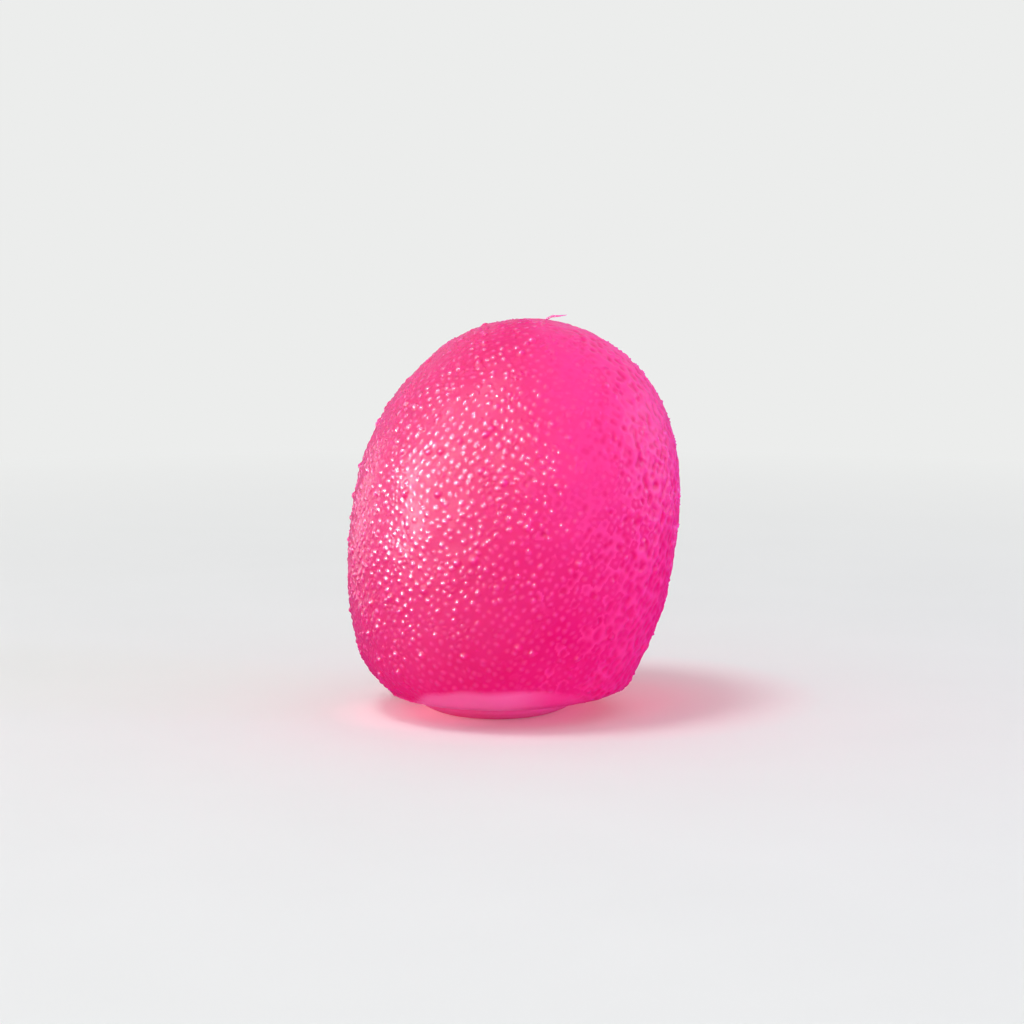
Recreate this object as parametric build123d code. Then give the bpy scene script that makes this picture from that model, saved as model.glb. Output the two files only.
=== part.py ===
from build123d import *
import os

# Finger exerciser: a soft gel egg standing on a smooth domed base plug.
# Millimetres, +Z up. The resting plane is z = 0 and the origin is the middle of the foot.
# Every piece is drawn upright and round about Z, and the whole egg is then leaned to +X.

# Overall
EGG_HEIGHT = 57.2         # crown of the egg above the resting plane
LEAN = 0.0945              # sideways shift of the egg per millimetre of height

# Outer wall of the skin, from the crown to the lower shoulder: (radius, height)
WALL = [
    (0.0, EGG_HEIGHT),
    (7.1, 56.0),
    (13.4, 52.4),
    (18.5, 46.9),
    (21.8, 40.4),
    (23.4, 33.4),
    (23.8, 25.4),
    (23.15, 17.4),
    (21.4, 10.4),
    (19.4, 6.0),
    (17.5, 3.8),
]
SHOULDER = (15.4, 2.75)    # where the wall turns under into the flat underside
SKIN = 2.2                 # thickness of the moulded skin

# Filling port in the underside
PORT_RADIUS = 12.2
PORT_EDGE_Z = 2.2          # lower edge of the port
FLOOR_Z = 4.75             # inner face of the skin around the port

# Base plug
PLUG_GAP = 0.08            # running gap between plug and port, all round
PAD_RADIUS = 7.6           # flat contact patch on the table
DOME_EDGE_Z = 2.2          # height where the dome meets the plug's side
DOME_MID = (10.4, 0.75)    # a point on the dome between the patch and the side
FLANGE_RADIUS = 14.2       # lip inside the skin that keeps the plug in
FLANGE = 1.3
TRIM = 0.5                 # stock left under the contact patch, cut off flat at the end


def leaned(shape):
    """Shift each level of a shape sideways in proportion to its height."""
    return shape.transform_geometry(
        Matrix([[1, 0, LEAN, 0], [0, 1, 0, 0], [0, 0, 1, 0], [0, 0, 0, 1]])
    )


def turned(edges):
    """Solid of revolution about Z from a closed outline in the XZ plane."""
    return revolve(make_face(edges), axis=Axis.Z)


def wall_curve():
    """Outer wall, level at the crown and steep where it meets the shoulder."""
    points = [Vector(r, 0, z) for r, z in WALL] + [Vector(SHOULDER[0], 0, SHOULDER[1])]
    return Spline(*points, tangents=[(1, 0, 0), (-1, 0, -0.25)])


def inner_curve(outer):
    """The wall moved inwards by the skin's thickness, down to the floor of the cavity."""
    points = []
    for step in range(13):
        u = step / 13
        along = outer % u
        inward = Vector(along.Z, 0, -along.X)
        point = (outer @ u) + inward * SKIN
        if point.Z > FLOOR_Z + 2.0:
            points.append(point)
    points[0] = Vector(0, 0, EGG_HEIGHT - SKIN)
    last = points[-1]
    points.append(Vector(last.X - 2.6, 0, FLOOR_Z))
    return Spline(*points, tangents=[(1, 0, 0), (-1, 0, -0.5)])


def egg_body():
    """The whole egg above its port, solid through."""
    wall = wall_curve()
    edge = Line((SHOULDER[0], 0, SHOULDER[1]), (PORT_RADIUS, 0, PORT_EDGE_Z))
    close = Polyline((PORT_RADIUS, 0, PORT_EDGE_Z), (0, 0, PORT_EDGE_Z), (0, 0, EGG_HEIGHT))
    return turned([wall, edge, *close.edges()])


def cavity():
    """The space inside the skin."""
    wall = inner_curve(wall_curve())
    end = wall @ 1
    close = Polyline((end.X, 0, end.Z), (0, 0, FLOOR_Z), (0, 0, EGG_HEIGHT - SKIN))
    return turned([wall, *close.edges()])


def base_plug():
    """Domed foot, a side that runs in the port, and a lip inside the skin."""
    side = PORT_RADIUS - PLUG_GAP
    dome = ThreePointArc(
        (PAD_RADIUS, 0, 0), (DOME_MID[0], 0, DOME_MID[1]), (side, 0, DOME_EDGE_Z)
    )
    top = FLOOR_Z + FLANGE
    rest = Polyline(
        (side, 0, DOME_EDGE_Z),
        (side, 0, FLOOR_Z),
        (FLANGE_RADIUS, 0, FLOOR_Z),
        (FLANGE_RADIUS, 0, top),
        (0, 0, top),
        (0, 0, -TRIM),
        (PAD_RADIUS, 0, -TRIM),
        (PAD_RADIUS, 0, 0),
    )
    return turned([dome, *rest.edges()])


plug = base_plug()
space = cavity()
port = Pos(0, 0, FLOOR_Z / 2) * Cylinder(PORT_RADIUS, FLOOR_Z + 1)
skin = egg_body() - space - port
core = space - plug

pieces = {
    "textured_skin": leaned(skin.solids()[0]),
    "gel_core": leaned(core.solids()[0]),
    "base_plug": split(leaned(plug), Plane.XY, keep=Keep.TOP).solids()[0],
}

os.makedirs("parts", exist_ok=True)
for name, solid in pieces.items():
    export_step(solid, f"parts/{name}.step")
    box = solid.bounding_box()
    print(name, round(solid.volume, 1), solid.is_valid, box.min, box.max)
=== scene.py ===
import math

import bpy
import numpy as np
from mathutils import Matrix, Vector, kdtree, noise


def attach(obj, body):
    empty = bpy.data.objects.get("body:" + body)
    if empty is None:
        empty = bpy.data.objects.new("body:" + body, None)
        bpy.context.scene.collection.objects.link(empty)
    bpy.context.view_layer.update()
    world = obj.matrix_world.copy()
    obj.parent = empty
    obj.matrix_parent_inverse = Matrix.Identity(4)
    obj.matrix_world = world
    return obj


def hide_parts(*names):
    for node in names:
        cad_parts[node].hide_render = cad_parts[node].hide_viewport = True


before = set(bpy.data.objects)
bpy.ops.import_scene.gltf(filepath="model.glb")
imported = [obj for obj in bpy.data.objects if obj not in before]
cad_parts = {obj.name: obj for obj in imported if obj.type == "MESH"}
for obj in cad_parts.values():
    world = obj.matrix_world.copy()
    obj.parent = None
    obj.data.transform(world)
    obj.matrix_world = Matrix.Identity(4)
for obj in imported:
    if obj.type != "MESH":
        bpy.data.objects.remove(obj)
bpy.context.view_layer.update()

MM = 0.001
rng = np.random.default_rng(7)

# The egg's drawing, as in the CAD part: millimetres, round about Z, then leaned to +X
LEAN = 0.0945              # sideways shift per millimetre of height
CROWN = 57.2               # top of the egg
WALL = [                   # outside of the skin, from the crown to the underside: (radius, height)
    (0.0, CROWN), (7.1, 56.0), (13.4, 52.4), (18.5, 46.9), (21.8, 40.4), (23.4, 33.4),
    (23.8, 25.4), (23.15, 17.4), (21.4, 10.4), (19.4, 6.0), (17.5, 3.8), (15.4, 2.75),
]
SKIN = 2.2                 # thickness of the skin
PORT_RADIUS = 12.2         # opening in the underside
PORT_EDGE_Z = 2.2          # its lower edge
FLOOR_Z = 4.75             # inner face of the skin around it
PLUG_RADIUS = 12.12
PAD_RADIUS = 7.6           # flat contact patch under the plug
FLANGE_RADIUS = 14.2       # lip that holds the plug in
FLANGE = 1.3               # its thickness
PLUG_TOP = FLOOR_Z + FLANGE

# Spacing of the meshes' rings and points, in mm
WALL_STEP = 0.205
WALL_STEP_AROUND = WALL_STEP * 1.04
UNDERSIDE_STEP = 0.7
PORT_STEP = 0.9
INSIDE_STEP = 1.8
GEL_STEP = 1.3
PLUG_STEP = 0.8
DOME_STEP = 0.42
DOME_RISE_STEP = 0.28


# ---------------------------------------------------------------- shapes

def spline(points, start, end, step):
    """Smooth curve through points with the given end directions, sampled every step."""
    p = np.array(points, float)
    t = np.concatenate([[0], np.cumsum(np.hypot(*np.diff(p, axis=0).T))])
    n = len(p)
    h = np.diff(t)
    a = np.zeros((n, n))
    b = np.zeros((n, 2))
    a[0, 0] = a[-1, -1] = 1
    b[0] = np.array(start) / np.hypot(*start)
    b[-1] = np.array(end) / np.hypot(*end)
    for i in range(1, n - 1):
        a[i, i - 1], a[i, i], a[i, i + 1] = 1 / h[i - 1], 2 / h[i - 1] + 2 / h[i], 1 / h[i]
        b[i] = 3 * ((p[i] - p[i - 1]) / h[i - 1] ** 2 + (p[i + 1] - p[i]) / h[i] ** 2)
    m = np.linalg.solve(a, b)
    out = []
    for u in np.linspace(0, t[-1], int(t[-1] / step) + 1):
        i = min(max(np.searchsorted(t, u) - 1, 0), n - 2)
        x = (u - t[i]) / h[i]
        out.append((2 * x ** 3 - 3 * x ** 2 + 1) * p[i] + (x ** 3 - 2 * x ** 2 + x) * h[i] * m[i]
                   + (3 * x ** 2 - 2 * x ** 3) * p[i + 1] + (x ** 3 - x ** 2) * h[i] * m[i + 1])
    return np.array(out)


def line(a, b, step):
    """Points on a straight line from a to b, about a step apart."""
    n = max(1, int(round(math.dist(a, b) / step)))
    return np.array([np.array(a) + (np.array(b) - np.array(a)) * k / n for k in range(n + 1)])


def smooth(zero, one, x):
    """An S-curve that is 0 where x is at zero or beyond it, and 1 where x is at one or beyond it."""
    t = np.clip((x - zero) / (one - zero), 0, 1)
    return t * t * (3 - 2 * t)


def field(points, scale, seed):
    """Smooth noise between about -1 and 1 at each point; scale is its wavelength in mm."""
    shift = Vector((seed, seed * 1.7, -seed))
    return np.array([noise.noise(Vector(point) / scale + shift) for point in points])


def ring_count(radius, step):
    """Points on a ring of this radius that are about a step apart; one on the axis."""
    return 1 if radius < 1e-6 else max(6, int(round(2 * math.pi * radius / step)))


class Turned:
    """A mesh of rings about Z whose ring counts follow their size, so its triangles stay even."""

    def __init__(self):
        self.points, self.normals, self.faces, self.uv = [], [], [], []
        self.last = None

    def ring(self, radius, z, count, normal=(1, 0), v=0.0):
        """Add a ring and join it to the last one; normal is (outward, upward), v its row in the UV map."""
        first = self.point_count()
        stagger = 0.0 if len(self.points) % 2 or count == 1 else 0.5
        turn = (np.arange(count) + stagger) / count
        c, s = np.cos(2 * np.pi * turn), np.sin(2 * np.pi * turn)
        self.points.append(np.stack([radius * c, radius * s, np.full(count, z)], 1))
        self.normals.append(np.stack([normal[0] * c, normal[0] * s, np.full(count, normal[1])], 1))
        this = (first, count, np.append(turn, turn[0] + 1), v)
        if self.last:
            self._join(self.last, this)
        self.last = this

    def _join(self, one, two):
        """Triangles between two rings, always stepping along the ring whose next point comes first."""
        first_a, count_a, turn_a, v_a = one
        first_b, count_b, turn_b, v_b = two
        steps_a = count_a if count_a > 1 else 0
        steps_b = count_b if count_b > 1 else 0
        i = j = 0
        while i < steps_a or j < steps_b:
            next_a = turn_a[i + 1] if i < steps_a else math.inf
            next_b = turn_b[j + 1] if j < steps_b else math.inf
            u_a = turn_a[i] if steps_a else turn_b[j]
            u_b = turn_b[j] if steps_b else turn_a[i]
            a, b = first_a + i % count_a, first_b + j % count_b
            if next_a <= next_b:
                i += 1
                c, corner = first_a + i % count_a, (turn_a[i], v_a)
            else:
                j += 1
                c, corner = first_b + j % count_b, (turn_b[j], v_b)
            self.faces.append((a, b, c))
            self.uv.append(((u_a, v_a), (u_b, v_b), corner))

    def point_count(self):
        return sum(len(ring) for ring in self.points)

    def arrays(self):
        return np.concatenate(self.points), np.concatenate(self.normals), np.array(self.faces)


def make_object(name, points, faces, uv=None, attributes=None):
    """Mesh object from millimetre points of the upright egg, leaned and in metres."""
    points = np.array(points, float)
    points[:, 0] += LEAN * points[:, 2]
    mesh = bpy.data.meshes.new(name)
    mesh.from_pydata((points * MM).tolist(), [], [tuple(int(k) for k in face) for face in faces])
    for key, values in (attributes or {}).items():
        layer = mesh.attributes.new(key, "FLOAT", "POINT")
        layer.data.foreach_set("value", np.asarray(values, np.float32))
    if uv is not None:
        mesh.uv_layers.new(name="OFBake").data.foreach_set("uv", np.asarray(uv, np.float32).ravel())
    mesh.shade_smooth()
    mesh.update()
    obj = bpy.data.objects.new(name, mesh)
    bpy.context.scene.collection.objects.link(obj)
    return obj


wall = spline(WALL, (1, 0), (-1, -0.25), WALL_STEP)
tangent = np.gradient(wall, axis=0)
tangent /= np.hypot(tangent[:, 0], tangent[:, 1])[:, None]
wall_normal = np.stack([-tangent[:, 1], tangent[:, 0]], 1)
wall_normal[0] = (0, 1)


# ---------------------------------------------------------------- the skin's texture

CELL = 1.36                # spacing of the cells, each of which holds a pit or a bead
PACKING = 0.9              # area of a cell, as a share of its spacing squared
JITTER_AROUND = 0.16       # disorder of the cells round the egg, as a share of their spacing
JITTER_UP = 0.15           # and up and down
WARP = 0.34                # how far the pattern is bent, in mm
WARP_LENGTH = 2.6          # over what length
WARP_SEEDS = (3.1, 11.7, 23.9)
NEIGHBOURS = 5             # cells that shape the surface at a point
SMALLEST, LARGEST = 0.55, 1.15   # range of the pits' depths, which also sets the beads' sizes

PIT = 0.27                 # depth of the pits
PIT_WIDTH = 0.42           # width of a pit, as a share of the cells' spacing
PIT_LEVEL = 0.40           # share of a pit's depth that stays above the drawing's outline
BEAD = 0.20                # height of a full bead
BEAD_RADIUS = 0.36         # its radius, as a share of the cells' spacing
BEAD_SINK = 0.1            # share of a bead's height that the ground between beads lies lower
GROUND = 0.06              # the texture's ground above the drawing's outline

FOOT_EDGE = 2.35           # height where the texture ends above the foot
FOOT_LENS = 3.0            # how much higher it ends in front
FOOT_WAVE = 0.35           # how uneven that line is

# Noise fields: the wavelength in mm and the seed of each
UNEVEN = (11.0, 5.0)       # how deep the texture is
FOOT_LINE = (4.0, 9.0)     # the line round the foot
MINGLE = (7.0, 13.0)       # where beads give way to pits
SWELLS = (5.5, 31.0)       # wide lumps in the wall
LUMPS = (2.4, 47.0)        # small ones

# Shares of the cells that have a nub as well, and the nubs' heights in mm
CORNER_NUBS, CORNER_NUB = 0.10, 0.22
MIDDLE_NUBS, MIDDLE_NUB = 0.04, 0.28


def cell_centres():
    """Middles of the cells, evenly spread over the wall with some disorder."""
    seg = np.hypot(*np.diff(wall, axis=0).T)
    area = np.concatenate([[0], np.cumsum(2 * np.pi * (wall[:-1, 0] + wall[1:, 0]) / 2 * seg)])
    count = int(area[-1] / (CELL * CELL * PACKING))
    golden = math.pi * (3 - math.sqrt(5))
    target = (np.arange(count) + 0.5) / count * area[-1]
    r = np.interp(target, area, wall[:, 0])
    z = np.interp(target, area, wall[:, 1])
    ang = np.arange(count) * golden
    ang += rng.normal(0, JITTER_AROUND * CELL, count) / np.maximum(r, 1)
    return np.stack([r * np.cos(ang), r * np.sin(ang), z + rng.normal(0, JITTER_UP * CELL, count)], 1)


def nearest_cells(points):
    """Distances from each point to its nearest cells, in cells, those cells' depths, and two dice rolls."""
    warp = np.stack([field(points, WARP_LENGTH, seed) for seed in WARP_SEEDS], 1) * WARP
    centres = cell_centres()
    tree = kdtree.KDTree(len(centres))
    for k, centre in enumerate(centres):
        tree.insert(centre, k)
    tree.balance()
    found = [tree.find_n(point, NEIGHBOURS) for point in (points + warp)]
    distance = np.array([[hit[2] for hit in row] for row in found]) / CELL
    cell = np.array([[hit[1] for hit in row] for row in found])
    depth = rng.uniform(SMALLEST, LARGEST, len(centres))
    luck = rng.random(len(centres))
    kind = rng.random(len(centres))
    return distance, depth[cell], luck[cell[:, 0]], kind[cell[:, 0]]


def above_foot(points, front):
    """0 on the smooth foot and 1 on the texture; the line between them arches up in front."""
    edge = FOOT_EDGE + FOOT_LENS * smooth(0.60, 0.97, front) + FOOT_WAVE * field(points, *FOOT_LINE)
    return smooth(-0.2, 1.2, points[:, 2] - edge)


def texture_strength(points, side):
    """How deep the texture is: uneven all over, and shallow on the upper right of the front view."""
    strong = 0.95 + 0.25 * field(points, *UNEVEN)
    upper = smooth(20, 40, points[:, 2])
    strong *= 1 - 0.72 * upper * smooth(-0.25, 0.4, side) * (1 - 0.8 * smooth(0.35, 0.8, side))
    return strong


def bead_or_pit(points, ang, side, kind):
    """1 in the cells that hold a bead, mostly on the left, and 0 in those that hold a pit."""
    share = smooth(-0.55, 0.50, 0.40 * field(points, *MINGLE) - np.cos(ang - 0.50))
    share = np.maximum(share, 0.12 * smooth(0.9, 0.3, side))
    return smooth(-0.06, 0.06, share - kind)


def wall_texture(points):
    """How far each wall point moves along its normal, in mm, and the values its material reads."""
    distance, depth, luck, kind = nearest_cells(points)
    nearest = distance[:, 0]
    ang, height = np.arctan2(points[:, 1], points[:, 0]), points[:, 2]
    side, front = np.cos(ang), -np.sin(ang)
    fade = above_foot(points, front)
    strong = texture_strength(points, side) * fade
    beaded = bead_or_pit(points, ang, side, kind)

    pit = (depth * np.exp(-(distance / PIT_WIDTH) ** 2)).sum(1)
    size = 0.25 + 0.75 * (depth[:, 0] - SMALLEST) / (LARGEST - SMALLEST)
    cap = np.clip(1 - (nearest / (BEAD_RADIUS * (0.75 + 0.25 * size))) ** 2, 0, 1)
    bead = BEAD * (cap * size - BEAD_SINK)
    lumps = 0.15 * field(points, *SWELLS) + 0.08 * field(points, *LUMPS)
    corner = smooth(0.42, 0.0, distance[:, 2] - nearest)
    nub = corner * (luck > 1 - CORNER_NUBS) * CORNER_NUB
    nub = nub + smooth(0.6, 0.1, nearest) * (luck < MIDDLE_NUBS) * MIDDLE_NUB
    lift = strong * (beaded * bead + (1 - beaded) * PIT * (PIT_LEVEL - pit))
    lift = lift + fade * (lumps + nub + GROUND)

    # Painted shade and highlight in the colour: darker in the pits as shade, paler on the beads' tops as
    # highlight, and darker towards the bottom and the right as shade.
    shade_and_highlight = (1 - beaded) * np.clip(1.15 - pit, 0, 1) + beaded * (0.42 + 0.45 * cap)
    shade_and_highlight = 0.8 + (shade_and_highlight - 0.8) * np.clip(strong, 0, 1)
    shade_and_highlight *= 0.62 + 0.38 * smooth(4, 26, height - 14 * side)
    values = {
        "relief_shade_highlight": shade_and_highlight * fade + 0.7 * (1 - fade),
        "tops": smooth(0.10, 0.75, cap) * fade * beaded * (0.45 + 0.55 * size),
        "edge": smooth(0.3, 0.9, side) * fade,
        "grain": smooth(0.45, 1.0, -side) * fade,
        # 1 on the texture and on the shaded right of the smooth band, 0 where the band takes the foot's lit
        # pink as painted light
        "pebbled_and_shaded_side": np.maximum(fade, smooth(0.05, 0.45, side)),
    }
    return lift, values


# ---------------------------------------------------------------- pieces

WALL_V = 0.08              # the wall fills the UV map from this row up
SHOULDER_SHIFT = 1.1       # how far the shoulder above the foot sits to the right of the drawing's
CROWN_SHIFT = 0.8          # and the crown to the left


def skin_rings():
    """Rings of the skin, and how many of its points are on the textured wall."""
    t = Turned()
    for i, ((r, z), normal) in enumerate(zip(wall, wall_normal)):
        v = WALL_V + (1 - WALL_V) * (1 - i / len(wall))
        t.ring(r, z, ring_count(r, WALL_STEP_AROUND), normal, v)
    textured = t.point_count()
    for r, z in line(WALL[-1], (PORT_RADIUS, PORT_EDGE_Z), 0.6)[1:]:
        t.ring(r, z, ring_count(r, UNDERSIDE_STEP), (0, -1), 0.075)
    for z in (PORT_EDGE_Z + 0.8, FLOOR_Z - 0.8, FLOOR_Z):
        t.ring(PORT_RADIUS, z, ring_count(PORT_RADIUS, PORT_STEP), (-1, 0), 0.06)
    inside = wall[::6] - wall_normal[::6] * SKIN
    inside = inside[inside[:, 1] > FLOOR_Z + 1.5][::-1]
    t.ring(inside[0, 0] - 1.5, FLOOR_Z, ring_count(inside[0, 0], INSIDE_STEP), (0, 1), 0.05)
    for k, (r, z) in enumerate(inside):
        r = max(r, 0.0) if k < len(inside) - 1 else 0.0
        t.ring(r, z, ring_count(r, INSIDE_STEP), (-1, 0), 0.045 - 0.04 * k / len(inside))
    return t, textured


def build_skin():
    """The moulded skin: a textured wall, a smooth underside with the port, and a plain inside."""
    t, textured = skin_rings()
    points, normals, faces = t.arrays()
    height = points[:textured, 2].copy()
    beside = np.abs(np.cos(np.arctan2(points[:textured, 1], points[:textured, 0])))
    lift, values = wall_texture(points[:textured].copy())
    points[:textured] += normals[:textured] * lift[:, None]

    shoulder = smooth(9.0, 2.4, height) * smooth(2.6, 3.8, height)
    points[:textured, 0] += SHOULDER_SHIFT * shoulder * beside
    points[:textured, 0] -= CROWN_SHIFT * smooth(49, 58, height)

    attributes = {}
    for key, value in values.items():
        attributes[key] = np.zeros(len(points))
        attributes[key][:textured] = value
    uv = [corner for face in t.uv for corner in face]
    return make_object("pebbled_skin", points, faces, uv, attributes)


def build_core():
    """The gel: it fills the skin down to the plug."""
    clear = 0.02
    t = Turned()
    inside = wall[::4] - wall_normal[::4] * (SKIN + clear)
    inside[0] = (0, CROWN - SKIN - clear)
    inside = inside[inside[:, 1] > FLOOR_Z + 2.0]
    low = inside[-1, 0]
    top = PLUG_TOP + clear
    beside_lip = FLANGE_RADIUS + 0.05
    floor = [
        (low - 2.4, FLOOR_Z + 0.05), (FLANGE_RADIUS + 0.4, FLOOR_Z + clear),
        (beside_lip, FLOOR_Z + 0.2), (beside_lip, top), (9.0, top), (4.0, top), (0, top),
    ]
    for r, z in inside:
        t.ring(max(r, 0), z, ring_count(r, GEL_STEP))
    t.ring(low - 0.9, FLOOR_Z + 0.75, ring_count(low, GEL_STEP))
    for r, z in floor:
        t.ring(r, z, ring_count(r, GEL_STEP))
    points, _, faces = t.arrays()
    return make_object("gel_filling", points, faces)


def build_plug():
    """The plug: a lip with rounded edges, a side that runs in the port, and a domed foot."""
    t = Turned()
    lip = [
        (0, PLUG_TOP), (6, PLUG_TOP), (12.6, PLUG_TOP), (13.6, PLUG_TOP - 0.05),
        (14.05, PLUG_TOP - 0.25), (FLANGE_RADIUS, PLUG_TOP - 0.6), (FLANGE_RADIUS, FLOOR_Z + 0.35),
        (14.0, FLOOR_Z + 0.12), (13.6, FLOOR_Z + 0.02), (12.5, FLOOR_Z),
    ]
    side = [(PLUG_RADIUS, FLOOR_Z - 0.3), (PLUG_RADIUS, 3.4)]
    dome = [
        (PLUG_RADIUS, 3.2), (12.1, 2.35), (11.6, 1.55), (10.4, 0.78), (9.0, 0.22), (PAD_RADIUS, 0.0),
    ]
    for r, z in lip + side:
        t.ring(r, z, ring_count(r, PLUG_STEP))
    for r, z in spline(dome, (0, -1), (-1, -0.02), DOME_RISE_STEP):
        t.ring(r, z, ring_count(r, DOME_STEP))
    for r in (7.0, 6.0, 5.0, 4.0, 3.0, 2.0, 1.0, 0.0):
        t.ring(r, 0.0, ring_count(r, PLUG_STEP))
    points, _, faces = t.arrays()
    return make_object("smooth_foot", points, faces)


def build_whisker():
    """Thin sliver of moulding flash left beside the crown."""
    sides = 6
    path = [(1.7, -1.0, 57.3), (2.6, -1.2, 57.75), (3.6, -1.35, 57.8), (4.7, -1.5, 57.95)]
    widths = (0.20, 0.20, 0.14, 0.05)
    points, faces = [], []
    for (x, y, z), width in zip(path, widths):
        for k in range(sides):
            a = 2 * math.pi * k / sides
            points.append((x, y + math.cos(a) * width * 0.5, z + math.sin(a) * width))
    for i in range(len(path) - 1):
        for k in range(sides):
            a, b = i * sides + k, i * sides + (k + 1) % sides
            faces.append((a, b, b + sides, a + sides))
    faces += [tuple(range(sides - 1, -1, -1)), tuple(range(len(points) - sides, len(points)))]
    return make_object("flash_sliver", points, faces)


skin = build_skin()
core = build_core()
plug = build_plug()
whisker = build_whisker()


# ---------------------------------------------------------------- materials

class Nodes:
    """A new material and short ways to add nodes to it; a node's input takes a value or a socket."""

    def __init__(self, name):
        self.material = bpy.data.materials.new(name)
        self.material.use_nodes = True
        self.tree = self.material.node_tree
        self.tree.nodes.clear()

    def add(self, kind, inputs=None, **values):
        node = self.tree.nodes.new(kind)
        for key, value in values.items():
            setattr(node, key, value)
        for key, value in (inputs or {}).items():
            if isinstance(value, bpy.types.NodeSocket):
                self.tree.links.new(value, node.inputs[key])
            else:
                node.inputs[key].default_value = value
        return node

    def mix(self, factor, a, b):
        """Blend of two colours."""
        return self.add("ShaderNodeMix", {0: factor, 6: a, 7: b}, data_type="RGBA").outputs[2]

    def ramp(self, value, low, high, to_low=0.0, to_high=1.0, shape="LINEAR"):
        """The value moved from the range low..high to the range to_low..to_high, and held there."""
        inputs = {"Value": value, "From Min": low, "From Max": high, "To Min": to_low, "To Max": to_high}
        return self.add("ShaderNodeMapRange", inputs, interpolation_type=shape).outputs[0]

    def math(self, operation, a, b):
        return self.add("ShaderNodeMath", {0: a, 1: b}, operation=operation).outputs[0]

    def attribute(self, name):
        return self.add("ShaderNodeAttribute", attribute_name=name).outputs["Fac"]

    def noise(self, where, scale, detail, roughness=0.5):
        inputs = {"Vector": where, "Scale": scale, "Detail": detail, "Roughness": roughness}
        return self.add("ShaderNodeTexNoise", inputs).outputs["Fac"]

    def bump(self, height, distance, strength, under=None):
        inputs = {"Strength": strength, "Distance": distance, "Height": height}
        if under is not None:
            inputs["Normal"] = under
        return self.add("ShaderNodeBump", inputs).outputs[0]

    def surface(self, shader):
        out = self.add("ShaderNodeOutputMaterial")
        self.tree.links.new(shader.outputs[0], out.inputs["Surface"])
        return self.material


def srgb(r, g, b):
    """Linear colour with alpha from 0-255 values as a screen shows them."""
    shares = [c / 255 for c in (r, g, b)]
    return (*(s / 12.92 if s <= 0.04045 else ((s + 0.055) / 1.055) ** 2.4 for s in shares), 1.0)


# Painted shade and light: the first pair is the skin's pink in shade and lit, and the pale one also tints
# random pale patches. The foot's pinks are brightened as painted light from the floor.
SKIN_SHADED, SKIN_LIT_PALE = srgb(228, 0, 108), srgb(247, 54, 140)
FOOT_LIT_DEEP, FOOT_LIT = srgb(255, 74, 148), srgb(255, 96, 162)
GEL_DEEP, GEL_LIGHT = srgb(250, 20, 110), srgb(255, 80, 150)
FLASH_DEEP, FLASH_LIGHT = srgb(250, 40, 125), srgb(255, 110, 170)
GRAIN_DEPTH = 0.00005
DROPLET_DEPTH = 0.00010


def clouds(n, where):
    """Large soft patches, a little paler than the rest."""
    return n.ramp(n.noise(where, 95.0, 3.0, 0.55), 0.35, 0.65, 0.0, 0.22)


def fine_grain(n, where):
    return n.noise(where, 1500.0, 3.0, 0.6)


def soft_rubber(n, colour, fine, normal, coat, roughness, soak):
    """Rubber that light soaks into, soak metres deep, under a glossy coat."""
    return n.surface(n.add("ShaderNodeBsdfPrincipled", {
        "Base Color": colour, "Roughness": n.ramp(fine, 0.3, 0.7, roughness - 0.08, roughness + 0.10),
        "Normal": normal, "IOR": 1.4, "Specular IOR Level": 0.14,
        "Subsurface Weight": 0.85, "Subsurface Radius": (1.0, 0.5, 0.85), "Subsurface Scale": soak,
        "Coat Weight": coat, "Coat Roughness": 0.24, "Coat IOR": 1.5}))


def pebbled_rubber():
    """The skin: deep pink in the pits as painted shade, paler on the beads' tops as painted highlight and
    glossy there, hazy at its far left; the smooth band above the foot has the foot's pink as painted light
    from the floor, and the skin's deeper pink as painted shade on its right.
    """
    n = Nodes("pebbled_rubber")
    where = n.add("ShaderNodeTexCoord").outputs["Object"]
    fine, grain, area = fine_grain(n, where), n.attribute("grain"), n.attribute("pebbled_and_shaded_side")

    # Painted shade and highlight: shaded pink in the pits and low down, lit pink on the ridges and beads'
    # tops.
    colour = n.mix(n.ramp(n.attribute("relief_shade_highlight"), 0.28, 0.76), SKIN_SHADED, SKIN_LIT_PALE)
    # Painted light: the smooth band above the foot takes the foot's lit pink, apart from its shaded right
    # side.
    colour = n.mix(area, FOOT_LIT, n.mix(clouds(n, where), colour, SKIN_LIT_PALE))

    coat = n.math("ADD", n.math("MULTIPLY", grain, 0.3), n.ramp(n.attribute("tops"), 0.1, 0.9, 0.04, 1.0))
    coat = n.math("ADD", coat, n.math("MULTIPLY", n.attribute("edge"), 0.25))

    spots = n.add("ShaderNodeTexVoronoi", {"Vector": where, "Scale": 1350.0, "Randomness": 0.9}, feature="F1")
    droplets = n.ramp(spots.outputs["Distance"], 0.08, 0.46, 1.0, 0.0, "SMOOTHSTEP")
    droplets = n.math("MULTIPLY", droplets, n.math("MULTIPLY", n.ramp(grain, 0.0, 1.0, 0.10, 1.0), area))
    normal = n.bump(droplets, DROPLET_DEPTH, 1.0, n.bump(fine, GRAIN_DEPTH, 0.25))
    return soft_rubber(n, colour, fine, normal, coat, 0.50, 0.0026)


def smooth_rubber(name, deep, light, coat, roughness, soak):
    """Rubber without a texture."""
    n = Nodes(name)
    where = n.add("ShaderNodeTexCoord").outputs["Object"]
    fine = fine_grain(n, where)
    colour = n.mix(n.ramp(fine, 0.3, 0.7, 0.45, 0.75), deep, light)
    colour = n.mix(clouds(n, where), colour, light)
    return soft_rubber(n, colour, fine, n.bump(fine, GRAIN_DEPTH, 0.08), coat, roughness, soak)


skin.data.materials.append(pebbled_rubber())
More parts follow.
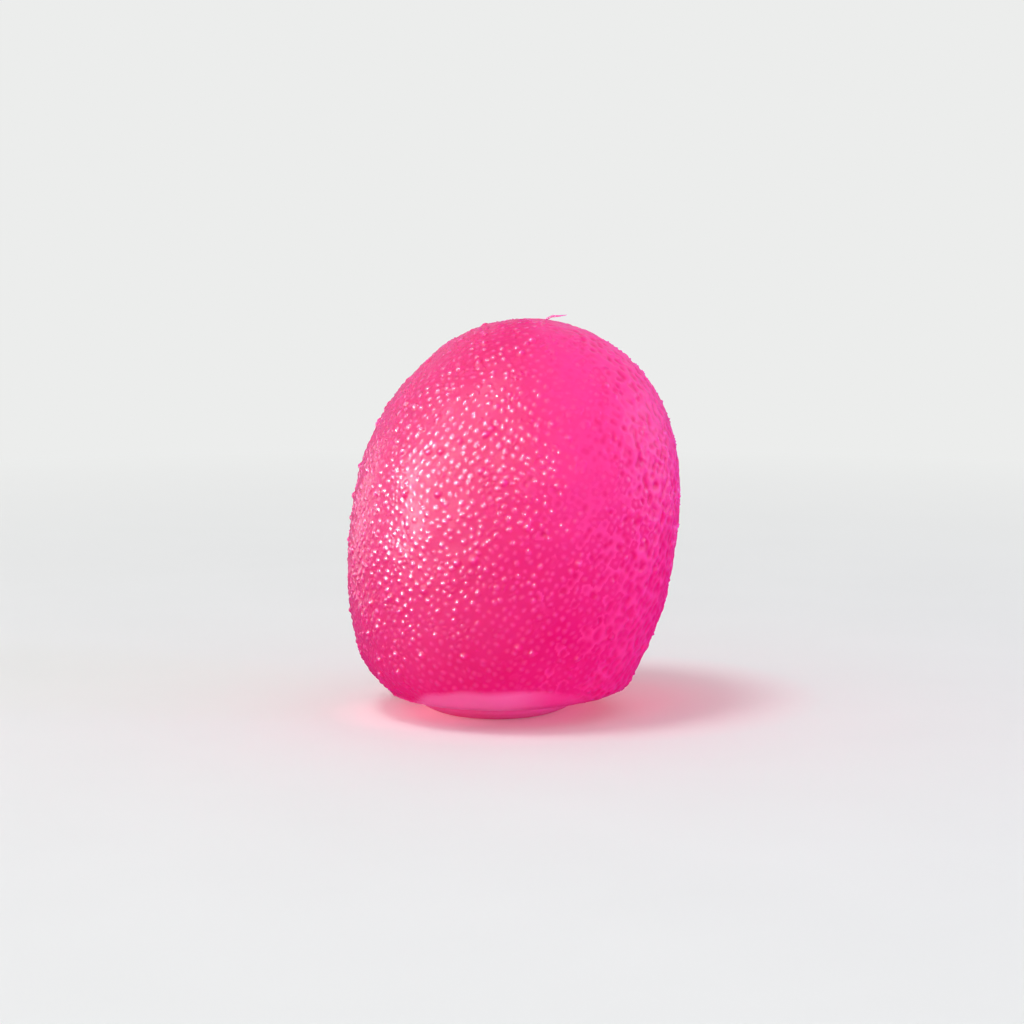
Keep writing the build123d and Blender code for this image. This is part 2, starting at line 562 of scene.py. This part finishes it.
# The foot's pinks are brightened as painted light from the floor below.
plug.data.materials.append(smooth_rubber("smooth_rubber", FOOT_LIT_DEEP, FOOT_LIT, 0.12, 0.40, 0.0026))
core.data.materials.append(smooth_rubber("gel", GEL_DEEP, GEL_LIGHT, 0.2, 0.2, 0.004))
whisker.data.materials.append(smooth_rubber("flash", FLASH_DEEP, FLASH_LIGHT, 0.2, 0.3, 0.001))

for piece, node, slot, body in ((skin, "textured_skin", "skin", "shell"), (core, "gel_core", "gel", "base"),
                                (plug, "base_plug", "plug", "base")):
    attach(piece, body)
    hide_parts(node)
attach(whisker, "shell")


# ---------------------------------------------------------------- stage

FLOOR_FLAT = 900           # radius of the flat floor, in mm
FLOOR_BEND = 900           # radius of the curve that it rises in beyond that
PAPER, PAPER_LIGHT = srgb(232, 233, 232), srgb(236, 237, 236)
PAPER_LIT_PINK, GLOW_PINK = srgb(255, 216, 222), srgb(255, 160, 185)
BACKDROP_FROM, BACKDROP_TO = 0.10, 0.32   # metres from the egg over which the paper turns into backdrop


def floor_paper():
    """Pale paper with painted pink light near the foot, tinted into its colour and shining as a glow, as if
    lit through the rubber, and an even backdrop beyond.
    """
    n = Nodes("paper")
    where = n.add("ShaderNodeTexCoord").outputs["Object"]
    away = n.add("ShaderNodeVectorMath", {0: where}, operation="LENGTH").outputs["Value"]

    def distance_to(x, y):
        node = n.add("ShaderNodeVectorMath", {0: where, 1: (x, y, 0.0)}, operation="DISTANCE")
        return node.outputs["Value"]

    colour = n.mix(n.noise(where, 30.0, 2.0), PAPER, PAPER_LIGHT)
    # Painted light: the paper is tinted pink near the foot and into the egg's shadow.
    colour = n.mix(n.ramp(distance_to(0.015, 0.010), 0.010, 0.034), PAPER_LIT_PINK, colour)
    paper = n.add("ShaderNodeBsdfPrincipled", {"Base Color": colour, "Roughness": 0.75,
                                               "Specular IOR Level": 0.0})
    # Painted light: a pink glow all round the foot, and more on its left.
    all_round = n.ramp(away, 0.012, 0.027, 0.11, 0.0)
    left = n.ramp(distance_to(-0.011, -0.003), 0.002, 0.014, 0.20, 0.0)
    painted_glow = n.add("ShaderNodeEmission", {"Color": GLOW_PINK, "Strength": n.math("ADD", all_round, left)})
    near = n.add("ShaderNodeAddShader", {0: paper.outputs[0], 1: painted_glow.outputs[0]})
    backdrop = n.add("ShaderNodeEmission", {"Color": PAPER_LIGHT, "Strength": 1.0})
    beyond = n.ramp(away, BACKDROP_FROM, BACKDROP_TO)
    return n.surface(n.add("ShaderNodeMixShader", {0: beyond, 1: near.outputs[0], 2: backdrop.outputs[0]}))


def build_stage():
    """A round sheet of paper, flat under the egg and curving up far behind it."""
    t = Turned()
    profile = [(r, 0) for r in (0, 100, 300, 600, FLOOR_FLAT)]
    for a in np.radians(np.arange(6, 55, 4)):
        profile.append((FLOOR_FLAT + FLOOR_BEND * math.sin(a), FLOOR_BEND * (1 - math.cos(a))))
    for r, z in profile:
        t.ring(r, z, 1 if r == 0 else 96)
    points, _, faces = t.arrays()
    points[:, 0] -= LEAN * points[:, 2]
    obj = make_object("studio_floor", points, [face[::-1] for face in faces])
    obj.data.materials.append(floor_paper())
    obj.visible_glossy = False


# ---------------------------------------------------------------- lights, in metres and watts

MIDDLE = (0.002, 0.0, 0.028)   # where every light points
GLINT_DISTANCE = 0.7
GLINTS = [                     # (turn about Z, rise above the floor, size, power): lights for gloss only
    (-150, 30, 0.20, 5.0), (-125, 48, 0.16, 3.6), (-175, 14, 0.20, 5.0), (-130, 6, 0.18, 4.6),
    (-155, 66, 0.16, 2.6), (-108, 30, 0.14, 2.8), (-176, 45, 0.20, 2.4), (-160, 1, 0.24, 8.5),
    (-78, 20, 0.14, 2.4),
]
SKY_LOW, SKY_HIGH, SKY_STRENGTH = -0.10, 0.30, 0.68   # it brightens between these upward directions


def area_light(name, place, size, power, soft=True, shine=True, colour=(1, 1, 1)):
    """Round lamp; soft and shine say whether it lights matt and glossy surfaces."""
    data = bpy.data.lights.new(name, "AREA")
    data.shape, data.size, data.energy, data.color = "DISK", size, power, colour
    obj = bpy.data.objects.new(name, data)
    obj.location = place
    obj.rotation_euler = (Vector(MIDDLE) - Vector(place)).to_track_quat("-Z", "Y").to_euler()
    obj.visible_diffuse, obj.visible_glossy = soft, shine
    bpy.context.scene.collection.objects.link(obj)


def build_lights():
    area_light("key", (-0.23, -0.19, 0.74), 0.24, 1.8)
    area_light("right fill", (0.62, -0.20, 0.05), 0.16, 1.5, shine=False, colour=(0.85, 0.9, 1.65))
    area_light("left fill", (-0.60, -0.26, 0.02), 0.10, 0.5, shine=False)
    area_light("low fill", (-0.05, -0.60, 0.05), 0.20, 0.6, shine=False)
    for turn, rise, size, power in GLINTS:
        a, e = math.radians(turn), math.radians(rise)
        out, up = GLINT_DISTANCE * math.cos(e), GLINT_DISTANCE * math.sin(e)
        area_light("glint", (out * math.cos(a), out * math.sin(a), 0.03 + up), size, power, soft=False)
    area_light("right rim", (0.66, 0.18, 0.17), 0.45, 1.4, soft=False, colour=(0.8, 0.8, 1.3))
    area_light("left rim", (-0.52, 0.44, 0.03), 0.30, 0.7, soft=False)


def build_sky():
    """White light from above that fades out just below the horizon."""
    world = bpy.data.worlds.new("studio")
    world.use_nodes = True
    sky = world.node_tree
    direction = sky.nodes.new("ShaderNodeSeparateXYZ")
    band = sky.nodes.new("ShaderNodeMapRange")
    for key, value in (("From Min", SKY_LOW), ("From Max", SKY_HIGH), ("To Max", SKY_STRENGTH)):
        band.inputs[key].default_value = value
    sky.links.new(sky.nodes.new("ShaderNodeTexCoord").outputs["Generated"], direction.inputs[0])
    sky.links.new(direction.outputs["Z"], band.inputs["Value"])
    sky.links.new(band.outputs[0], sky.nodes["Background"].inputs["Strength"])
    sky.nodes["Background"].inputs["Color"].default_value = (1.0, 1.0, 1.0, 1.0)
    bpy.context.scene.world = world


# ---------------------------------------------------------------- camera, in metres

CAMERA_DISTANCE = 0.45
CAMERA_RISE = math.radians(8.0)
VIEW_WIDTH = 0.1492            # width of the picture at the egg
CAMERA_TARGET = Vector((0.00226, 0.0, 0.0291))
SENSOR_WIDTH = 36.0


def build_camera():
    data = bpy.data.cameras.new("camera")
    camera = bpy.data.objects.new("camera", data)
    bpy.context.scene.collection.objects.link(camera)
    back = Vector((0, -math.cos(CAMERA_RISE), math.sin(CAMERA_RISE)))
    camera.location = CAMERA_TARGET + back * CAMERA_DISTANCE
    camera.rotation_euler = (CAMERA_TARGET - camera.location).to_track_quat("-Z", "Y").to_euler()
    data.sensor_width = SENSOR_WIDTH
    data.lens = SENSOR_WIDTH * CAMERA_DISTANCE / VIEW_WIDTH
    data.clip_start = 0.01
    bpy.context.scene.camera = camera


build_stage()
build_lights()
build_sky()
build_camera()
bpy.context.scene.view_settings.view_transform = "Standard"

bpy.context.view_layer.update()
